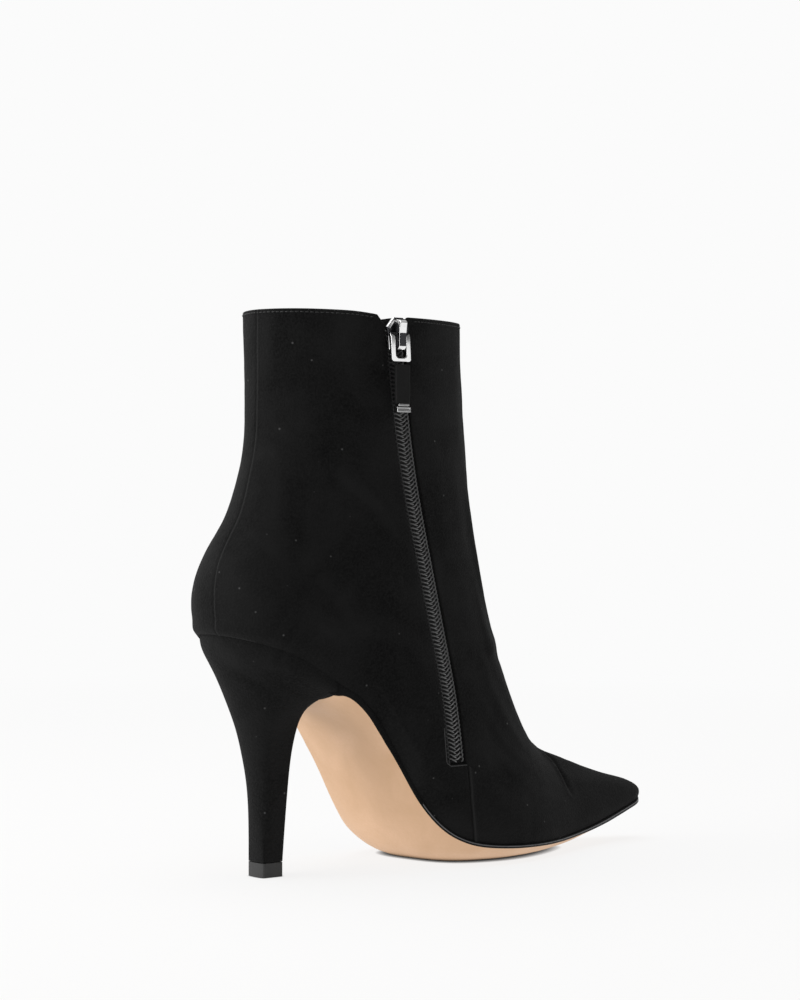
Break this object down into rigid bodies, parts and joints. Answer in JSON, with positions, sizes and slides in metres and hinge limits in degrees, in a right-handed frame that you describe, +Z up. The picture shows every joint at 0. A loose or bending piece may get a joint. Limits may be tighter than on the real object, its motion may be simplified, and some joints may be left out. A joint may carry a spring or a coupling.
{
  "type": "ankle boot",
  "caption": "Black suede ankle boot with a pointed toe, a slim high heel, a straight collar and a side zip with a hanging puller.",
  "frame": {"origin": "on the floor, at the middle of the heel tip's bottom face", "axes": "+X along the boot towards the toe, +Y to the outer side, away from the zip, +Z up"},
  "size_m": [0.2261, 0.0791, 0.2226],
  "materials": {
    "suede": "black suede with a short nap",
    "sole_leather": "tan sole leather with a polished black edge",
    "insole_leather": "smooth tan lining leather",
    "top_piece": "hard satin dark grey",
    "zip_tape": "woven black tape",
    "zip_coil": "black nylon coil",
    "silver_metal": "polished silver",
    "tab_leather": "smooth black leather"
  },
  "bodies": {
    "boot": {"upper": "suede", "outsole": "sole_leather", "insole": "insole_leather", "heel": "suede", "heel_tip": "top_piece", "zip_tape": "zip_tape", "zip_coil": "zip_coil", "zip_slider": "silver_metal"},
    "zip_pull": {"pull_ring": "silver_metal", "pull_tab": "tab_leather", "pull_end": "silver_metal"}
  },
  "joints": [
    {"name": "pull_swing", "type": "hinge", "parent": "boot", "child": "zip_pull", "pos_m": [0.03922, -0.03598, 0.21313], "axis": [-1, 0, 0], "range_deg": [0, 150]}
  ]
}
